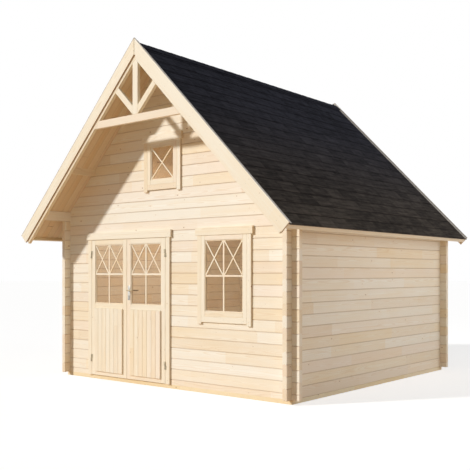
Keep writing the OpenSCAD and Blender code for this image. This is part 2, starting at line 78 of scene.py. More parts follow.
lens = bpy.data.cameras.new("camera")
lens.sensor_width = sensor_mm
lens.lens = sensor_mm * focal_px / photo_px
lens.shift_y = (horizon_px - photo_px / 2) / photo_px
lens.clip_end = far_clip
camera = bpy.data.objects.new("camera", lens)
camera.location = eye
camera.rotation_euler = (math.radians(90), 0, heading)
scene.collection.objects.link(camera)
scene.camera = camera


# Floor and light
# A plain pale floor that runs out to a white background, a low sun lamp from the left front, and two
# soft boxes that fill the shaded side and reach under its eaves. A weak lamp lights the room.
class Shade:
    """A socket of a node tree. Arithmetic on it adds Math nodes to the tree."""

    def __init__(self, tree, socket=None):
        self.tree = tree
        self.socket = socket

    def node(self, kind, settings=None, out=0, **sockets):
        """Adds a node, with its settings first and then its sockets' values or links."""
        made = self.tree.nodes.new("ShaderNode" + kind)
        for name, value in (settings or {}).items():
            setattr(made, name, value)
        for name, value in sockets.items():
            spaced = name.replace("_", " ")
            socket = next(s for s in made.inputs if name == s.identifier or spaced == s.identifier)
            if isinstance(value, Shade):
                self.tree.links.new(value.socket, socket)
            else:
                socket.default_value = value
        found = [s for s in made.outputs if out in (s.identifier, 0)]
        return Shade(self.tree, found[0] if found else None)

    def output(self, name):
        return Shade(self.tree, self.socket.node.outputs[name])

    def math(self, operation, *others):
        values = dict(zip(("Value", "Value_001", "Value_002"), (self, *others)))
        return self.node("Math", {"operation": operation}, **values)

    def __add__(self, other):
        return self.math("ADD", other)

    __radd__ = __add__

    def __mul__(self, other):
        return self.math("MULTIPLY", other)

    __rmul__ = __mul__

    def __sub__(self, other):
        return self.math("SUBTRACT", other)

    def __rsub__(self, other):
        return self.node("Math", {"operation": "SUBTRACT"}, Value=other, Value_001=self)

    def __truediv__(self, other):
        return self.math("DIVIDE", other)

    def __pow__(self, other):
        return self.math("POWER", other)

    def split(self):
        parts = self.node("SeparateXYZ", Vector=self)
        return [parts.output(axis) for axis in "XYZ"]

    def joined(self, second, third):
        return self.node("CombineXYZ", X=self, Y=second, Z=third)

    def fade(self, start, end):
        """0 up to start and 1 from end on, smooth between."""
        return self.node("MapRange", {"interpolation_type": "SMOOTHSTEP"}, Value=self,
                         From_Min=start, From_Max=end)

    def between(self, first, second):
        """A colour, from first at 0 to second at 1."""
        return self.node("Mix", {"data_type": "RGBA"}, out="Result_Color",
                         Factor_Float=self, A_Color=first, B_Color=second)


def colour(red, green, blue):
    """A colour as written for a screen, 0 to 255, in Blender's linear values."""
    screen = [part / 255 for part in (red, green, blue)]
    linear = [part / 12.92 if part < 0.04045 else ((part + 0.055) / 1.055) ** 2.4 for part in screen]
    return (*linear, 1)


def new_material(name):
    """An empty material, and the start of its node tree."""
    made = bpy.data.materials.new(name)
    made.use_nodes = True
    made.node_tree.nodes.clear()
    return made, Shade(made.node_tree)


def show(start, shader):
    """Gives a material its shader."""
    start.node("OutputMaterial", Surface=shader)


def seen_directly(start):
    """1 for what the camera sees, also in metal and through glass, and 0 for light on other things."""
    path = start.node("LightPath")
    camera_ray, glossy_ray, glass_ray = [path.output(f"Is {kind} Ray")
                                         for kind in ("Camera", "Glossy", "Transmission")]
    return (camera_ray + glossy_ray + glass_ray).math("MINIMUM", 1)


def aim(lamp, way):
    """Turns a lamp to shine the way given."""
    lamp.rotation_euler = way.to_track_quat("-Z", "Y").to_euler()


def soft_light(name, place, size, power, tint):
    """A square area lamp, which shines straight down until it is aimed."""
    light = bpy.data.lights.new(name, "AREA")
    light.size = size
    light.energy = power
    light.color = tint
    lamp = bpy.data.objects.new(name, light)
    lamp.location = place
    scene.collection.objects.link(lamp)
    return lamp


floor_radius = 120
floor_sides = 96
floor_bounce = colour(211, 177, 143)
floor_seen = colour(200, 200, 200)
floor_glow = (0.63, 0.63, 0.63, 1)
sun_way = Vector((0.68, 1.0, -0.55))
sun_strength = 2.54
sun_angle = math.radians(4.4)
sun_colour = (1.0, 0.995, 0.985)
sky_colour = (1.0, 0.985, 0.965, 1)
sky_strength = 0.28
box_place = Vector((9.5, 6.0, 2.9))
box_aim = Vector((1.9, 0.6, 1.3))
box_size = 7.0
box_power = 300
box_colour = (0.99, 0.99, 1.0)
low_box_place = Vector((7.6, -0.4, 0.7))
low_box_aim = Vector((1.9, 1.1, 2.2))
low_box_size = 1.6
low_box_power = 6
low_box_spread = math.radians(70)
room_light_place = Vector((-0.2, -0.5, 3.12))
room_light_size = 1.2
room_light_power = 32
room_light_colour = (1.0, 0.83, 0.7)

disc = bmesh.new()
bmesh.ops.create_circle(disc, cap_ends=True, segments=floor_sides, radius=floor_radius)
floor_mesh = bpy.data.meshes.new("floor")
disc.to_mesh(floor_mesh)
disc.free()
floor = bpy.data.objects.new("floor", floor_mesh)
scene.collection.objects.link(floor)
floor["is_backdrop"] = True

floor_material, start = new_material("floor")
warm = start.node("BsdfDiffuse", Color=floor_bounce)
pale = start.node("BsdfDiffuse", Color=floor_seen)
glow = start.node("Emission", Color=floor_glow, Strength=1)
white = start.node("AddShader", Shader=pale, Shader_001=glow)
show(start, start.node("MixShader", Fac=seen_directly(start), Shader=warm, Shader_001=white))
floor_mesh.materials.append(floor_material)

world = bpy.data.worlds.new("studio")
scene.world = world
world.use_nodes = True
world.node_tree.nodes.clear()
sky = Shade(world.node_tree)
dim = sky.node("Background", Color=sky_colour, Strength=sky_strength)
white = sky.node("Background", Color=(1, 1, 1, 1), Strength=1)
backdrop = sky.node("MixShader", Fac=seen_directly(sky), Shader=dim, Shader_001=white)
sky.node("OutputWorld", Surface=backdrop)

sun = bpy.data.lights.new("sun", "SUN")
sun.energy = sun_strength
sun.angle = sun_angle
sun.color = sun_colour
sun_lamp = bpy.data.objects.new("sun", sun)
aim(sun_lamp, sun_way)
scene.collection.objects.link(sun_lamp)

soft_box = soft_light("soft_box", box_place, box_size, box_power, box_colour)
aim(soft_box, box_aim - box_place)
low_box = soft_light("low_box", low_box_place, low_box_size, low_box_power, box_colour)
low_box.data.spread = low_box_spread
aim(low_box, low_box_aim - low_box_place)
soft_light("room_light", room_light_place, room_light_size, room_light_power, room_light_colour)

# Foundation beams and floor joists
# Sawn spruce bearers that lie flat on the ground, butted at the corners, with the joists between
# them. They are left as they came from the saw.
same_place = 1e-5
flat_angle = math.radians(0.5)
sharp_angle = math.radians(20)


def merged(node):
    """A CAD node's solids with their triangles joined into flat faces."""
    mesh = bmesh.new()
    mesh.from_mesh(frame["nodes"][node].data)
    bmesh.ops.remove_doubles(mesh, verts=mesh.verts, dist=same_place)
    bmesh.ops.dissolve_limit(mesh, angle_limit=flat_angle, verts=mesh.verts, edges=mesh.edges)
    return mesh


def round_off(mesh, edges, rounding, segments=2):
    """Rounds the edges given, or cuts a flat chamfer along them where segments is 1."""
    bmesh.ops.bevel(mesh, geom=edges, offset=rounding, offset_type="OFFSET", affect="EDGES",
                    segments=segments, profile=0.5, material=-1, clamp_overlap=True)


def ease(mesh, rounding, segments=2):
    """Rounds every sharp edge, as a planed timber's edges are."""
    sharp = [e for e in mesh.edges if e.is_manifold and e.calc_face_angle() > sharp_angle]
    round_off(mesh, sharp, rounding, segments)


def solids(mesh):
    """The separate solids of a mesh, each a list of vertices."""
    mesh.verts.ensure_lookup_table()
    mesh.verts.index_update()
    met = set()
    for first in mesh.verts:
        if first.index in met:
            continue
        met.add(first.index)
        found = [first]
        for vert in found:
            for edge in vert.link_edges:
                other = edge.other_vert(vert)
                if other.index not in met:
                    met.add(other.index)
                    found.append(other)
        yield found


def box_of(verts):
    """The lowest and the highest corner of some vertices."""
    low = Vector([min(v.co[i] for v in verts) for i in range(3)])
    high = Vector([max(v.co[i] for v in verts) for i in range(3)])
    return low, high


off_the_half = 0.00017


def draw_for(place):
    """Random numbers that belong to a place, to the millimetre, so that each timber keeps its own."""
    return random.Random(" ".join(f"{part + off_the_half:.3f}" for part in place))


def longest_edge(verts):
    """The way that a timber runs."""
    edge = max((e for v in verts for e in v.link_edges), key=lambda e: e.calc_length())
    return (edge.verts[1].co - edge.verts[0].co).normalized()


tree_run = 60
pith_far = (0.03, 0.11)
pith_aside = 0.05
end_cosine = 0.8
upright_cosine = 0.95


def mark_grain(mesh, along=None):
    """Gives each solid its grain: the way along it, the pith it was sawn from, and its own tones."""
    grain = mesh.verts.layers.float_vector.new("grain")
    board = mesh.verts.layers.float_vector.new("board")
    end = mesh.faces.layers.float.new("end")
    for verts in solids(mesh):
        low, high = box_of(verts)
        middle = (low + high) / 2
        draw = draw_for(middle)
        way = along or longest_edge(verts)
        across = Vector((0, 0, 1)) if abs(way.z) < upright_cosine else Vector((1, 0, 0))
        depth = way.cross(across).normalized()
        across = depth.cross(way).normalized()
        start_at = draw.uniform(0, tree_run)
        tone = draw.random()
        pith = draw.uniform(*pith_far) * draw.choice((-1, 1))
        pith_across = draw.uniform(-pith_aside, pith_aside)
        blush = draw.random()
        for vert in verts:
            from_middle = vert.co - middle
            aside = from_middle.dot(across)
            vert[grain] = (from_middle.dot(way) + start_at, aside - pith_across,
                           from_middle.dot(depth) - pith)
            vert[board] = (aside, blush, tone)
        for face in {f for v in verts for f in v.link_faces}:
            face[end] = float(abs(face.normal.dot(way)) > end_cosine)


chamfer_cosine = 0.4
edge_cosine = 0.95


def mark_joint_shade(mesh, axis, depth=1.0):
    """Marks the chamfers where timbers laid along an axis meet; their darker colour is painted shade,
    with some dust.
    """
    joint = mesh.faces.layers.float.new("joint")
    for face in mesh.faces:
        face[joint] = depth * float(chamfer_cosine < abs(face.normal[axis]) < edge_cosine)


def mark_shaded_edges(mesh, depth):
    """Marks the upright side faces of casing boards, whose darker colour is painted shade."""
    joint = mesh.faces.layers.float.new("joint")
    for face in mesh.faces:
        face[joint] = depth * float(abs(face.normal.x) > edge_cosine)


def finished(mesh, name, material, body="cabin", nodes=()):
    """Makes a mesh a piece that rides a body and stands for the CAD nodes named."""
    data = bpy.data.meshes.new(name)
    mesh.to_mesh(data)
    mesh.free()
    data.materials.append(material)
    made = bpy.data.objects.new(name, data)
    scene.collection.objects.link(made)
    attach(made, body)
    if nodes:
        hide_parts(*nodes)
    return made


def timber(node, material, along=None, rounding=0.002, segments=2, joints=None,
           joint_shade=1.0, edges=0, body="cabin"):
    """A CAD node's timbers with eased edges, each with its own grain."""
    mesh = merged(node)
    if rounding:
        ease(mesh, rounding, segments)
    mark_grain(mesh, along)
    if joints is not None:
        mark_joint_shade(mesh, joints, joint_shade)
    if edges:
        mark_shaded_edges(mesh, edges)
    finished(mesh, node + "_timber", material, body, [node])


ring_gap = 0.0042
ring_wander = 0.035
late_wood = (0.35, 0.95)
knot_size = 0.022
knot_spread = 0.09
knot_end_room = 0.2
knot_narrow = 1.3
knot_core = 0.55
knot_soft_edge = 0.0006
swirl_reach = 0.07
swirl_strength = 30
swirl_bend = 0.012
relief_height = 0.0012
tone_depth = 0.42
streak_depth = 0.8
cloud_depth = 0.7
blush_depth = 0.36
ring_depth = 0.22
fibre_depth = 0.2
knot_depth = 0.85
wood_roughness = 0.56
rosy = colour(247, 227, 207)
dusk = colour(226, 200, 162)


def wood(name, pale, honey, end_grain, knot, knot_gap=0.62, knot_share=0.6, patch=1.35,
         patch_depth=0.55, joint_shade_depth=0.2, dusk_depth=0.2, relief=0.25):
    """Planed softwood: growth rings round a pith, streaks, knots and lengths of different tone."""
    made, start = new_material(name)
    grain = start.node("Attribute", {"attribute_name": "grain"}, out="Vector")
    board = start.node("Attribute", {"attribute_name": "board"}, out="Vector")
    end = start.node("Attribute", {"attribute_name": "end"}, out="Fac")
    joint = start.node("Attribute", {"attribute_name": "joint"}, out="Fac")
    far, across, depth = grain.split()
    aside, blush, tone = board.split()

    def noise(lengthwise, crosswise, **detail):
        """Noise that is drawn out along the timber."""
        place = (far * lengthwise).joined(across * crosswise, depth * crosswise)
        return start.node("TexNoise", Vector=place, Scale=1.0, **detail)

    def chance(number, salt, out="Value"):
        """Random numbers for each numbered length of each timber."""
        return start.node("TexWhiteNoise", {"noise_dimensions": "2D"}, out=out,
                          Vector=number.joined(tone * salt, 0.0))

    # One knot at most in each stretch of the timber
    stretch = far / knot_gap
    first, second, third = chance(stretch.math("FLOOR"), salt=97.0, out="Color").split()
    knot_far = stretch.math("FRACT") - first * (1 - 2 * knot_end_room) - knot_end_room
    knot_aside = aside - (second - 0.5) * knot_spread
    away = ((knot_far * knot_gap) ** 2 + (knot_aside * knot_narrow) ** 2) ** 0.5
    size = (third - (1 - knot_share)).math("MAXIMUM", 0) * knot_size
    knot_mask = 1 - away.fade(size * knot_core, size + knot_soft_edge)
    swirl = (1 - away.fade(0.0, swirl_reach)) * size * swirl_strength

    # Growth rings bend along the timber and round its knots
    wander = noise(lengthwise=0.9, crosswise=7, Detail=2.0)
    radius = (across * across + depth * depth) ** 0.5 + wander * ring_wander + swirl * swirl_bend
    ring = (radius / ring_gap).math("FRACT")
    late = ring.fade(*late_wood) * (1 - ring.fade(late_wood[1], 1.0))

    # Tones change from length to length, and in streaks and clouds within one
    fibres = noise(lengthwise=7, crosswise=420, Detail=3.0)
    streaks = noise(lengthwise=1.1, crosswise=26, Detail=3.0, Roughness=0.6)
    cloud = noise(lengthwise=1.6, crosswise=3, Detail=2.0)
    length = ((far + tone * 3) / patch).math("FLOOR")
    patches = chance(length, salt=53.0)
    sections = chance(length, salt=71.0)
    warm = patches.fade(0.35, 1.0) * patch_depth + tone.fade(0.45, 1.0) * tone_depth
    warm = warm + (streaks - 0.5) * streak_depth + (cloud - 0.5) * cloud_depth

    face = warm.math("MAXIMUM", 0).math("MINIMUM", 1).between(pale, honey)
    face = (blush.fade(0.55, 1.0) * blush_depth).between(face, rosy)
    face = (sections.fade(0.6, 1.0) * dusk_depth).between(face, dusk)
    lines = (late * ring_depth + (fibres - 0.5) * fibre_depth).math("MAXIMUM", 0)
    face = lines.between(face, end_grain)
    face = (end * (blush * 0.12 + late * 0.2)).between(face, end_grain)
    face = (swirl * 0.5).math("MINIMUM", 0.5).between(face, honey)
    face = (knot_mask * knot_depth).between(face, knot)
    # Marked joints and edges take a darker colour: painted shade, with some dust in the joints.
    face = (joint * joint_shade_depth).between(face, knot)

    height = fibres * 0.4 + late * 0.6 - knot_mask * 0.8
    normal = start.node("Bump", Strength=relief, Distance=relief_height, Height=height)
    show(start, start.node("BsdfPrincipled", Base_Color=face, Normal=normal,
                           Roughness=wood_roughness + late * 0.08 - knot_mask * 0.15))
    return made


sawn_wood = wood("sawn_wood", colour(248, 238, 208), colour(240, 219, 172), colour(214, 178, 126),
                 colour(142, 98, 60), relief=0.6)
beam_rounding = 0.003
for beams in ("foundation_beams", "floor_joists"):
    timber(beams, sawn_wood, rounding=beam_rounding)

# Floor boards
# Tongued and grooved spruce boards nailed across the joists, with a small chamfer at every joint.
# They show when the doors stand open.
floor_board_w = 0.112
floor_board_chamfer = 0.002
cut_gap = 1e-6
near_cosine = 0.9


def put_into(mesh, piece):
    """Moves a small piece into the mesh that holds all of its kind."""
    carrier = bpy.data.meshes.new("piece")
    piece.to_mesh(carrier)
    piece.free()
    mesh.from_mesh(carrier)
    bpy.data.meshes.remove(carrier)


def sawn_off(mesh, place, way):
    """Saws off what lies past a place, the way given, and closes the cut."""
    bmesh.ops.bisect_plane(mesh, geom=mesh.verts[:] + mesh.edges[:] + mesh.faces[:], dist=cut_gap,
                           plane_co=place, plane_no=way, clear_outer=True)
    bmesh.ops.holes_fill(mesh, edges=mesh.edges[:], sides=0)


def sawn_up(node, axis, width, chamfer):
    """A CAD slab sawn into boards of about a width along an axis, with chamfered long edges."""
    whole = merged(node)
    low, high = box_of(whole.verts)
    count = round((high[axis] - low[axis]) / width)
    step = (high[axis] - low[axis]) / count
    facing = Vector([float(i == axis) for i in range(3)])
    boards = bmesh.new()
    for number in range(count):
        board = whole.copy()
        first = low[axis] + number * step
        last = low[axis] + (number + 1) * step
        sawn_off(board, facing * first, -facing)
        sawn_off(board, facing * last, facing)
        sides = [f for f in board.faces if abs(f.normal[axis]) > near_cosine]
        long_edges = list({e for face in sides for e in face.edges})
        round_off(board, long_edges, chamfer, 1)
        put_into(boards, board)
    whole.free()
    return boards


floor_wood = wood("floor_wood", colour(228, 206, 166), colour(206, 170, 118), colour(178, 138, 90),
                  colour(120, 80, 48))
boards = sawn_up("floor_deck", 1, floor_board_w, floor_board_chamfer)
mark_grain(boards)
# Painted shade darkens the chamfers between the boards.
mark_joint_shade(boards, 1)
finished(boards, "floor_boards", floor_wood, nodes=["floor_deck"])

# Log walls
# Planed spruce logs with a tongue, a groove and chamfered edges, stacked dry and lapped by half at
# the corners. Each log is a length of its own, so its tone and knots differ from its neighbours'.
along_x = Vector((1, 0, 0))
along_y = Vector((0, 1, 0))
log_wood = wood("log_wood", colour(250, 247, 234), colour(246, 229, 194), colour(220, 186, 136),
                colour(150, 104, 66), patch_depth=0.46, dusk_depth=0.3, joint_shade_depth=0.26)
# Painted shade darkens the chamfers between the logs.
for wall in ("front_wall_left", "front_wall_right", "front_gable", "back_wall", "back_gable"):
    timber(wall, log_wood, along_x, rounding=0, joints=2)
for wall in ("left_wall", "right_wall", "eaves_logs"):
    timber(wall, log_wood, along_y, rounding=0, joints=2)

# Purlins
# Three planed spruce beams from gable to gable that carry the roof boards, let into the gables and
# bevelled on top to the slope. Their front ends bear on the truss.
roof_wood = wood("roof_wood", colour(242, 226, 196), colour(230, 199, 153), colour(200, 160, 112),
                 colour(140, 96, 60), patch=9.0)
for beams in ("middle_purlins", "ridge_purlin"):
    timber(beams, roof_wood)

# Front truss
# Planed spruce rafters, collar beam, king post and struts under the front overhang, butted and
# screwed together behind the bargeboards.
planed_wood = wood("planed_wood", colour(249, 243, 224), colour(244, 225, 187),
                   colour(220, 186, 136), colour(158, 112, 72), knot_gap=0.8, knot_share=0.4,
                   patch=6.0, patch_depth=0.3, joint_shade_depth=0.12)
for part in ("rafters", "collar_beam", "king_post", "struts"):
    timber("truss_" + part, planed_wood, rounding=beam_rounding)

# Roof boards
# Tongued and grooved spruce boards nailed to the purlins from ridge to eaves, with a V at every
# joint on the underside. Along the ridge they are planed flat, so that tabs can bend over it.
roof_board_w = 0.096
roof_board_v = 0.003
ridge_flat_over_purlin = 0.00566
upward = Vector((0, 0, 1))
ridge_flat = upward * (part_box("ridge_purlin")[1].z + ridge_flat_over_purlin)
for side in ("left", "right"):
    boards = sawn_up(side + "_roof_boards", 1, roof_board_w, roof_board_v)
    mark_grain(boards)
    # Painted shade darkens the V joints between the boards.
    mark_joint_shade(boards, 1)
    sawn_off(boards, ridge_flat, upward)
    finished(boards, side + "_roof_boarding", roof_wood, nodes=[side + "_roof_boards"])

# Fascias and bargeboards
# Planed spruce boards over the ends of the roof boards, nailed along the eaves and fixed up both
# gables with two rows of zinc-plated screws. Painted shade darkens the bargeboards' long edges.
barge_edge_shade = 5.8
timber("eaves_fascias", planed_wood)
for gable in ("front", "back"):
    timber(gable + "_bargeboards", planed_wood, rounding=beam_rounding, joints=2,
           joint_shade=barge_edge_shade)

top_cosine = 0.3


def slope_axes(node):
    """A roof slab's own axes: down the slope, along the ridge, and out of the slope."""
    slab = merged(node)
    top = max(slab.faces, key=lambda face: face.calc_area() * (face.normal.z > top_cosine))
    out = top.normal.copy()
    slab.free()
    down = Vector((math.copysign(out.z, out.x), 0, -abs(out.x)))
    return Matrix((down, Vector((0, 1, 0)), out)).transposed().to_4x4()


def slope_box(node, axes, side=0):
    """A node's lowest and highest corners in a slope's axes, of one half of the roof or of both."""
    points = [axes.transposed() @ v.co for v in frame["nodes"][node].data.vertices
              if v.co.x * side >= 0]
    low = Vector([min(p[i] for p in points) for i in range(3)])
    high = Vector([max(p[i] for p in points) for i in range(3)])
    return low, high


scratch_fine = 900
scratch_long = 60
scratch_height = 0.0004
dull_spots = 45.0


def metal(name, pale, dark, roughness, metallic=1.0):
    """Worn plated metal: fine scratches, and dull spots where it is handled."""
    made, start = new_material(name)
    place = start.node("TexCoord", out="Object")
    x, y, z = place.split()
    brushed = (x * scratch_fine).joined(y * scratch_fine, z * scratch_long)
    scratches = start.node("TexNoise", Vector=brushed, Scale=1.0, Detail=2.0)
    dull = start.node("TexNoise", Vector=place, Scale=dull_spots, Detail=3.0)
    normal = start.node("Bump", Strength=0.12, Distance=scratch_height, Height=scratches)
    show(start, start.node("BsdfPrincipled", Base_Color=dull.fade(0.35, 0.7).between(pale, dark),
                           Metallic=metallic, Normal=normal,
                           Roughness=roughness + dull * 0.15 + scratches * 0.1))
    return made


screw_d = 0.007
screw_top_d = 0.00588
screw_rim = 0.0014
screw_proud = 0.0008
screw_recess = 0.00056
screw_sides = 12


def screw(mesh, place, way):
    """A flat screw head on a face that looks the way given, with a recess for the driver."""
    turn = way.to_track_quat("Z", "Y").to_matrix().to_4x4()
    middle = Matrix.Translation(place + way * screw_proud / 2)
    head = bmesh.ops.create_cone(mesh, cap_ends=True, segments=screw_sides, radius1=screw_d / 2,
                                 radius2=screw_top_d / 2, depth=screw_proud, matrix=middle @ turn)
    faces = {f for v in head["verts"] for f in v.link_faces}
    top = max(faces, key=lambda face: face.calc_center_median().dot(way))
    top.normal_update()
    bmesh.ops.inset_individual(mesh, faces=[top], thickness=screw_rim, depth=-screw_recess)


zinc = metal("zinc", colour(214, 206, 182), colour(182, 174, 150), 0.5, 0.3)
barge_screw_gap = 0.58
barge_screw_edge = 0.13
barge_screw_rows = (0.28, 0.72)
barge_screws = bmesh.new()
for gable, way in (("front", Vector((0, -1, 0))), ("back", Vector((0, 1, 0)))):
    for side, sign in (("left", -1), ("right", 1)):
        axes = slope_axes(side + "_shingles")
        low, high = slope_box(gable + "_bargeboards", axes, sign)
        face_y = low.y if way.y < 0 else high.y
        first = low.x + barge_screw_edge * 2
        last = high.x - barge_screw_edge
        count = round((last - first) / barge_screw_gap)
        for number in range(count + 1):
            down = first + (last - first) * number / count
            for share in barge_screw_rows:
                place = Vector((down, face_y, low.z + (high.z - low.z) * share))
                screw(barge_screws, axes @ place, way)
finished(barge_screws, "bargeboard_screws", zinc)

# Shingles
# Strips of bitumen felt with a coat of dark slate grains, cut into tabs and nailed to the boards in
# courses from the eaves up. Each course steps up over the heads of the course below.
shingle_exposure = 0.195
tab_w = 0.33
tab_slot = 0.006
tab_drift = 0.15
tab_head = 0.0032
tab_lift = 0.0008
sheet_t = 0.002
verge_gap = 0.002


def block(mesh, low, high):
    """Adds a plain block from its low corner to its high corner, and gives its vertices."""
    place = Matrix.Translation((low + high) / 2) @ Matrix.Diagonal((*(high - low), 1))
    return bmesh.ops.create_cube(mesh, size=1, matrix=place)["verts"]


def wedge(mesh, low, high, thin):
    """A tab from low to high, measured down the slope, along the ridge and out, thin at its head."""
    middle = (low + high) / 2
    for vert in block(mesh, low, high):
        if vert.co.z > middle.z and vert.co.x < middle.x:
            vert.co.z = low.z + thin


def mark_tone(mesh):
    """Gives each solid a tone of its own, and each vertex its share of the way down its solid."""
    tone = mesh.verts.layers.float_vector.new("tone")
    for verts in solids(mesh):
        low, high = box_of(verts)
        own = draw_for((low + high) / 2).random()
        for vert in verts:
            vert[tone] = (own, (high.z - vert.co.z) / (high.z - low.z), 0)


slate_grains = 520.0
slate_blots = 9.0
slate_weather = 0.7
slate_streak_along = 3.2
slate_streak_up = 42
tab_tone_depth = 0.28
grain_depth = 0.8
blot_depth = 0.9
wash_depth = 1.7
weather_depth = 0.7
middling = 0.25
grain_height = 0.0016
dark_slate = colour(19, 20, 28)
pale_slate = colour(56, 58, 69)
eaves_dark = colour(44, 40, 37)
eaves_pale = colour(98, 91, 84)
head_shade = colour(9, 9, 11)
head_share = 0.12


def shingle_felt(eaves_z, ridge_z):
    """Slate grains on bitumen, with painted shade at each tab's head below the course above, and
    greyer and paler towards the eaves.
    """
    made, start = new_material("shingle_felt")
    place = start.node("TexCoord", out="Object")
    own, down = start.node("Attribute", {"attribute_name": "tone"}, out="Vector").split()[:2]
    along, up = place.split()[1:]
    grains = start.node("TexNoise", Vector=place, Scale=slate_grains, Detail=2.0)
    blots = start.node("TexNoise", Vector=place, Scale=slate_blots, Detail=4.0, Roughness=0.65)
    drawn_out = (along * slate_streak_along).joined(up * slate_streak_up, own * 9)
    streaks = start.node("TexNoise", Vector=drawn_out, Scale=1.0, Detail=3.0, Roughness=0.6)
    weather = start.node("TexNoise", Vector=place, Scale=slate_weather, Detail=2.0)
    light = own * tab_tone_depth + (grains - 0.5) * grain_depth + (blots - 0.5) * blot_depth
    light = light + (streaks - 0.5) * wash_depth + (weather - 0.5) * weather_depth + middling
    light = light.math("MAXIMUM", 0).math("MINIMUM", 1)
    slate = light.between(dark_slate, pale_slate)
    eaves_colour = light.between(eaves_dark, eaves_pale)
    # The felt turns greyer and paler towards the eaves.
    eaves_share = 1 - up.fade(eaves_z, ridge_z)
    face = (eaves_share * eaves_share).between(slate, eaves_colour)
    # Painted shade along each tab's head, below the butts of the course above.
    shaded = (1 - down.fade(0.0, head_share)) * (0.5 + streaks * 0.5)
    face = shaded.between(face, head_shade)
    normal = start.node("Bump", Strength=0.6, Distance=grain_height, Height=grains + blots * 0.5)
    show(start, start.node("BsdfPrincipled", Base_Color=face, Normal=normal,
                           Roughness=0.86 + grains * 0.12, Specular_IOR_Level=0.05))
    return made


roof_low, roof_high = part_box("right_shingles")
felt = shingle_felt(roof_low.z, roof_high.z)
for side in ("left", "right"):
    node = side + "_shingles"
    axes = slope_axes(node)
    low, high = slope_box(node, axes)
    low.x += (high.z - low.z) * abs(axes.col[2].x / axes.col[2].z)
    low.y += verge_gap
    high.y -= verge_gap
    courses = round((high.x - low.x) / shingle_exposure)
    exposure = (high.x - low.x) / courses
    draw = random.Random("shingles " + side)
    tabs = bmesh.new()
    wedge(tabs, low, Vector((high.x - tab_head, high.y, low.z + sheet_t)), sheet_t)
    for course in range(courses):
        head = low.x + course * exposure
        across = low.y - tab_w * (course % 2 / 2 + tab_drift * draw.random())
        while across < high.y - tab_slot:
            left = max(low.y, across + tab_slot / 2)
            right = min(high.y, across + tab_w - tab_slot / 2)
            butt = high.z - tab_lift * draw.random()
            if right - left > tab_slot:
                wedge(tabs, Vector((head, left, low.z)), Vector((head + exposure, right, butt)),
                      tab_head)
            across += tab_w
    bmesh.ops.transform(tabs, matrix=axes, verts=tabs.verts)
    bmesh.ops.recalc_face_normals(tabs, faces=tabs.faces)
    mark_tone(tabs)
    sawn_off(tabs, ridge_flat, upward)
    finished(tabs, side + "_shingle_tabs", felt, nodes=[node])

# Ridge shingles
# Single tabs of the same felt bent over the ridge, laid from the back to the front so that each
# covers the nails of the one behind it.
ridge_exposure = 0.2
ridge_sheet_t = 0.0035
ridge_step = 0.003
ridge_fold = 0.09
ridge_fold_steps = 6
axes = slope_axes("right_shingles")
low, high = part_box("ridge_cap")
cap_out = slope_box("ridge_cap", axes, 1)[1].z
crest_z = cap_out / axes.col[2].z
fall = abs(axes.col[0].z / axes.col[0].x)
count = round((high.y - low.y) / ridge_exposure)
step = (high.y - low.y - 2 * verge_gap) / count
caps = bmesh.new()
for number in range(count):
    sheet = bmesh.new()
    back_y = high.y - verge_gap - number * step
    corners = [sheet.verts.new((x, back_y, crest_z - abs(x) * fall)) for x in (low.x, 0, high.x)]
    sides = [sheet.edges.new(pair) for pair in zip(corners, corners[1:])]
    run = bmesh.ops.extrude_edge_only(sheet, edges=sides)["geom"]
    front = [v for v in run if isinstance(v, bmesh.types.BMVert)]
    bmesh.ops.translate(sheet, verts=front, vec=(0, -step, 0))
    bmesh.ops.translate(sheet, verts=corners, vec=(0, 0, -ridge_step))
    fold = [e for e in sheet.edges if all(abs(v.co.x) < cut_gap for v in e.verts)]
    round_off(sheet, fold, ridge_fold, ridge_fold_steps)
    bmesh.ops.recalc_face_normals(sheet, faces=sheet.faces)
    if any(face.normal.z < 0 for face in sheet.faces):
        bmesh.ops.reverse_faces(sheet, faces=sheet.faces[:])
    bmesh.ops.solidify(sheet, geom=sheet.faces[:], thickness=ridge_sheet_t)
    put_into(caps, sheet)
mark_tone(caps)
finished(caps, "ridge_shingles", felt, nodes=["ridge_cap"])

# Verge strips
# Folded zinc sheet along both gables. It covers the top edge of the bargeboard, turns down behind it
# and laps on to the shingles, where it is nailed.
strip_t = 0.0012
strip_gap = 0.0002
strip_lip = 0.004
strip_lap = 0.045
strip_ridge_gap = 0.0015
dull_zinc = metal("dull_zinc", colour(206, 201, 194), colour(180, 175, 168), 0.6, 0.2)
for gable, way in (("front", -1), ("back", 1)):
    strips = bmesh.new()
    for side, sign in (("left", -1), ("right", 1)):
        axes = slope_axes(side + "_shingles")
        low, high = slope_box(gable + "_bargeboards", axes, sign)
        roof_top = slope_box(side + "_shingles", axes)[1].z
        outer, inner = (low.y, high.y) if way < 0 else (high.y, low.y)
        under, over = [[(outer + way * clear, high.z - strip_lip),
                        (outer + way * clear, high.z + clear),
                        (inner - way * clear, high.z + clear),
                        (inner - way * clear, roof_top + clear),
                        (inner - way * strip_lap, roof_top + clear)]
                       for clear in (strip_gap, strip_gap + strip_t)]
        profile = under + over[::-1]
        strip = bmesh.new()
        section = strip.faces.new([strip.verts.new((low.x - strip_lap, y, out)) for y, out in profile])
        run = bmesh.ops.extrude_face_region(strip, geom=[section])["geom"]
        moved = [v for v in run if isinstance(v, bmesh.types.BMVert)]
        bmesh.ops.translate(strip, verts=moved, vec=(high.x - low.x + strip_lap, 0, 0))
        bmesh.ops.transform(strip, matrix=axes, verts=strip.verts)
        sawn_off(strip, (sign * strip_ridge_gap, 0, 0), (-sign, 0, 0))
        bmesh.ops.recalc_face_normals(strip, faces=strip.faces)
        put_into(strips, strip)
    finished(strips, gable + "_verge_strips", dull_zinc)

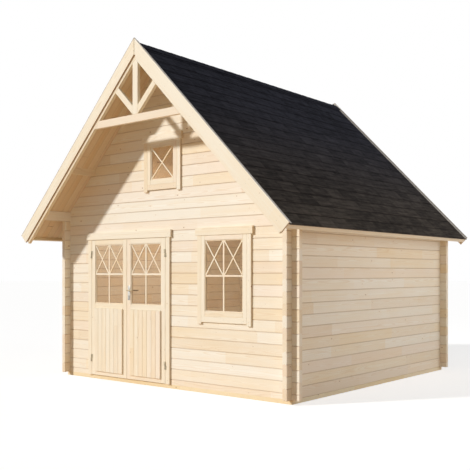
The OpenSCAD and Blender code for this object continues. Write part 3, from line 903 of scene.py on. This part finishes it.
# Doorway
# Planed spruce: a frame let in between the logs, stops and a threshold behind the leaves, and casing
# boards screwed on outside with a thicker board over the head. Thin strips close the rebate.
casing_edge_shade = 2.2
for part in ("door_frame", "door_stops", "door_threshold"):
    timber(part, planed_wood)
# Painted shade darkens the casing boards' side faces.
timber("door_casing", planed_wood, rounding=beam_rounding,
       edges=casing_edge_shade)

outward = Vector((0, -1, 0))
casing_screw_edge = 0.05


def screwed(node):
    """Screws in each board of a casing, near both ends and in the middle of its front face."""
    boards = merged(node)
    heads = bmesh.new()
    for verts in solids(boards):
        low, high = box_of(verts)
        axis = 0 if high.x - low.x > high.z - low.z else 2
        middle = (low + high) / 2
        for along in (low[axis] + casing_screw_edge, middle[axis], high[axis] - casing_screw_edge):
            place = middle.copy()
            place.y = low.y
            place[axis] = along
            screw(heads, place, outward)
    boards.free()
    finished(heads, node + "_screws", zinc)


screwed("door_casing")

rebate_depth = 0.004
rebate_w = 0.018
rebate_t = 0.004
rebate_head_inset = 0.0044
rebate_rounding = 0.0008


def strip_of(mesh, low, high):
    """A narrow strip of wood from low to high, with eased edges."""
    strip = bmesh.new()
    block(strip, low, high)
    ease(strip, rebate_rounding, 1)
    put_into(mesh, strip)


stops_low, stops_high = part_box("door_stops")
leaf_low, leaf_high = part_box("left_door_leaf")
rebate_y = leaf_low.y + rebate_depth
strips = bmesh.new()
strip_of(strips, Vector((stops_low.x, rebate_y, leaf_low.z)),
         Vector((stops_low.x + rebate_t, rebate_y + rebate_w, stops_high.z)))
strip_of(strips, Vector((stops_high.x - rebate_t, rebate_y, leaf_low.z)),
         Vector((stops_high.x, rebate_y + rebate_w, stops_high.z)))
strip_of(strips, Vector((stops_low.x + rebate_head_inset, rebate_y, stops_high.z - rebate_t)),
         Vector((stops_high.x - rebate_head_inset, rebate_y + rebate_w, stops_high.z)))
mark_grain(strips)
finished(strips, "door_rebate_strips", planed_wood)

# Door leaves
# Two framed leaves of planed spruce. Each has a panel of upright boards with a V at every joint
# below, and glass held between beads above, with glazing bars over it. A strip closes the gap.
bead_w = 0.011
bead_d = 0.009
bar_d = 0.011
level_bar_w = 0.022
upright_bar_w = 0.024
cross_bar_w = 0.017
bar_rounding = 0.0025
hair_gap = 0.0003


def stick(mesh, start, end, width, front, back, cuts):
    """Adds a bar from start to end, in X and Z, sawn off at the cuts, with its front edges eased."""
    first = Vector((start[0], 0, start[1]))
    last = Vector((end[0], 0, end[1]))
    run = last - first
    turn = Matrix.Rotation(-math.atan2(run.z, run.x), 4, "Y")
    middle = (first + last) / 2 + Vector((0, (front + back) / 2, 0))
    size = Matrix.Diagonal((run.length, back - front, width, 1))
    bar = bmesh.new()
    bmesh.ops.create_cube(bar, size=1, matrix=Matrix.Translation(middle) @ turn @ size)
    for place, way in cuts:
        sawn_off(bar, (place[0], 0, place[1]), (way[0], 0, way[1]))
    bmesh.ops.recalc_face_normals(bar, faces=bar.faces)
    along = run.normalized()
    long_edges = [e for e in bar.edges
                  if abs((e.verts[0].co - e.verts[1].co).normalized().dot(along)) > near_cosine]
    round_off(bar, long_edges, bar_rounding)
    put_into(mesh, bar)


def crossed(mesh, x0, x1, z0, z1, front, back):
    """Two crossing bars, corner to corner of a pane, halved where they meet."""
    edges = [((x0, z0), (-1, 0)), ((x1, z0), (1, 0)), ((x0, z0), (0, -1)), ((x0, z1), (0, 1))]
    run = Vector((x1 - x0, z1 - z0))
    reach = run.normalized() * cross_bar_w
    across = Vector((-run.y, run.x)).normalized()
    middle = Vector((x0 + x1, z0 + z1)) / 2
    far = Vector((x1, z1)) + reach
    near = Vector((x0, z0)) - reach
    stick(mesh, near, far, cross_bar_w, front, back, edges)
    over = Vector((x0, z1)) + Vector((-reach.x, reach.y))
    under = Vector((x1, z0)) + Vector((reach.x, -reach.y))
    half = across * (cross_bar_w / 2 + hair_gap)
    stick(mesh, middle, over, cross_bar_w, front, back, edges + [(middle + half, -across)])
    stick(mesh, under, middle, cross_bar_w, front, back, edges + [(middle - half, across)])


def glazing(glass_node, name, body, columns, rows):
    """Beads round both faces of a sheet of glass, and bars over its front. The top row is crossed."""
    low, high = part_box(glass_node)
    bars = bmesh.new()
    for face, way in ((low.y - hair_gap, -1), (high.y + hair_gap, 1)):
        front, back = sorted((face, face + way * bead_d))
        corners = [(low.x, low.z), (high.x, low.z), (high.x, high.z), (low.x, high.z)]
        inward = [(0, 1), (-1, 0), (0, -1), (1, 0)]
        for number in range(4):
            here = Vector(corners[number])
            there = Vector(corners[(number + 1) % 4])
            lean = Vector(inward[number])
            shift = lean * bead_w / 2
            run = (there - here).normalized()
            stick(bars, here + shift, there + shift, bead_w, front, back,
                  [(here, -run + lean), (there, run + lean)])
    back = low.y - hair_gap
    front = back - bar_d
    x0, x1 = low.x + bead_w, high.x - bead_w
    z0, z1 = low.z + bead_w, high.z - bead_w
    xs = [x0 + (x1 - x0) * i / columns for i in range(columns + 1)]
    zs = [z0 + (z1 - z0) * i / rows for i in range(rows + 1)]
    for z in zs[1:-1]:
        stick(bars, (x0, z), (x1, z), level_bar_w, front, back, [])
    for row in range(rows):
        bottom = zs[row] + (level_bar_w / 2 if row else 0)
        top = zs[row + 1] - (level_bar_w / 2 if row < rows - 1 else 0)
        for x in xs[1:-1]:
            stick(bars, (x, bottom), (x, top), upright_bar_w, front, back, [])
        if row == rows - 1:
            for column in range(columns):
                left = xs[column] + (upright_bar_w / 2 if column else 0)
                right = xs[column + 1] - (upright_bar_w / 2 if column < columns - 1 else 0)
                crossed(bars, left, right, bottom, top, front, back)
    mark_grain(bars)
    finished(bars, name, planed_wood, body)


glass_tint = colour(205, 214, 212)
glass_roughness = 0.02
clear_alpha = 0.03
dust_alpha = 0.03
speck_alpha = 0.03


def window_glass():
    """Clear float glass with a thin film of dust and some specks."""
    made, start = new_material("window_glass")
    place = start.node("TexCoord", out="Object")
    dust = start.node("TexNoise", Vector=place, Scale=3.0, Detail=4.0, Roughness=0.7)
    specks = start.node("TexNoise", Vector=place, Scale=140.0, Detail=1.0)
    film = clear_alpha + dust.fade(0.45, 0.8) * dust_alpha + specks.fade(0.7, 0.8) * speck_alpha
    show(start, start.node("BsdfPrincipled", Base_Color=glass_tint, Alpha=film,
                           Roughness=glass_roughness + dust * 0.06))
    return made


pane = window_glass()


def glazed(node):
    """Gives a CAD sheet of glass its look."""
    looks = frame["nodes"][node].data.materials
    looks.clear()
    looks.append(pane)


panel_board_v = 0.0035
for side in ("left", "right"):
    body = side + "_door"
    timber(body + "_leaf", planed_wood, body=body)
    # Painted shade darkens the V joints between the panel boards.
    timber(body + "_boards", planed_wood, rounding=panel_board_v, segments=1,
           joints=0, body=body)
    glazing(body + "_glass", body + "_glazing_bars", body, 2, 2)
    glazed(body + "_glass")

meeting = bmesh.new()
strip_of(meeting, Vector((leaf_high.x + hair_gap, rebate_y, leaf_low.z)),
         Vector((leaf_high.x + rebate_t, rebate_y + rebate_w, leaf_high.z)))
mark_grain(meeting)
finished(meeting, "left_door_meeting_strip", planed_wood, "left_door")

# Hinges
# Zinc-plated steel lift-off hinges on the face of the door. The lower half with the pin is screwed
# to the casing, and the leaf's sleeve turns on it.
metal_rounding = 0.0006
crease_angle = math.radians(32)


def fitting(node, material, body="cabin"):
    """A CAD node's metal pieces with eased edges and smooth round faces."""
    mesh = merged(node)
    ease(mesh, metal_rounding)
    made = finished(mesh, node + "_metal", material, body, [node])
    made.data.polygons.foreach_set("use_smooth", [True] * len(made.data.polygons))
    made.data.set_sharp_from_angle(angle=crease_angle)


flap_t = 0.003
hinge_screw_edge = 0.01
hinge_screw_rows = (0.012, 0.038)


def hinge_half(node, body="cabin"):
    """The pins or the sleeves of some hinges, with two screws in each flap."""
    fitting(node, zinc, body)
    halves = merged(node)
    heads = bmesh.new()
    for verts in solids(halves):
        low, high = box_of(verts)
        middle = (low + high) / 2
        joint_xs = [joint["pos_m"][0] for joint in frame["joints"]]
        hinge_x = min(joint_xs, key=lambda x: abs(x - middle.x))
        edge_x = high.x - hinge_screw_edge if middle.x > hinge_x else low.x + hinge_screw_edge
        for row in hinge_screw_rows:
            screw(heads, Vector((edge_x, high.y - flap_t, low.z + row)), outward)
    halves.free()
    finished(heads, node + "_screws", zinc, body)


hinge_half("door_hinge_pins")
hinge_half("left_door_sleeves", "left_door")
hinge_half("right_door_sleeves", "right_door")

# Lock and lever
# A satin steel plate with a key cylinder on each face of the right leaf, held by a screw at either
# end, and a pair of dark steel levers on a spindle through both.
satin_steel = metal("satin_steel", colour(178, 175, 168), colour(148, 145, 138), 0.45)
dark_steel = metal("dark_steel", colour(186, 170, 138), colour(146, 130, 100), 0.42, 0.6)
fitting("lock_plate", satin_steel, "right_door")

plate_t = 0.004
plate_screw_edge = 0.014
key_slot_w = 0.0026
key_slot_h = 0.0095
key_slot_end_r = 0.001274
key_slot_end_steps = 4
key_slot_proud = 0.0003
slot_steel = metal("slot_steel", colour(38, 36, 34), colour(24, 23, 22), 0.6, 0.5)
plates = merged("lock_plate")
plate_screws = bmesh.new()
key_slots = bmesh.new()
for verts in solids(plates):
    low, high = box_of(verts)
    front = abs(high.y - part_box("right_door_leaf")[0].y) < plate_t
    way = outward if front else -outward
    plate_y = high.y - plate_t if front else low.y + plate_t
    for z in (low.z + plate_screw_edge, high.z - plate_screw_edge):
        screw(plate_screws, Vector(((low.x + high.x) / 2, plate_y, z)), way)
    faces = {f for v in verts for f in v.link_faces}
    cylinder = max(faces, key=lambda face: face.calc_center_median().dot(way))
    middle = cylinder.calc_center_median()
    # Each key slot is a thin near-black block on the cylinder's face: painted shade where the keyhole
    # is.
    reach = Vector((key_slot_w / 2, key_slot_proud, key_slot_h / 2))
    slot = bmesh.new()
    block(slot, middle - reach, middle + reach)
    ends = [e for e in slot.edges if abs(e.verts[0].co.y - e.verts[1].co.y) > key_slot_proud]
    round_off(slot, ends, key_slot_end_r, key_slot_end_steps)
    put_into(key_slots, slot)
plates.free()
finished(plate_screws, "lock_plate_screws", satin_steel, "right_door")
finished(key_slots, "key_slots", slot_steel, "right_door")
fitting("door_lever", dark_steel, "lever")

# Windows
# Fixed sashes of planed spruce in frames let in between the logs, with casing boards screwed on
# outside and a thicker board over the head. The glass lies between beads, with bars over it.
for opening in ("window", "loft_window"):
    timber(opening + "_frame", planed_wood)
    # Painted shade darkens the casing boards' side faces.
    timber(opening + "_casing", planed_wood, rounding=beam_rounding,
           edges=casing_edge_shade)
    timber(opening + "_sash", planed_wood, rounding=beam_rounding)
    glazed(opening + "_glass")
    screwed(opening + "_casing")
glazing("window_glass", "window_glazing_bars", "cabin", 2, 2)
glazing("loft_window_glass", "loft_window_glazing_bars", "cabin", 1, 1)

# The size of the finished cabin beside that of its CAD model
low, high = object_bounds()
{"cad": [list(cad_low), list(cad_high)], "visual": [list(low), list(high)]}
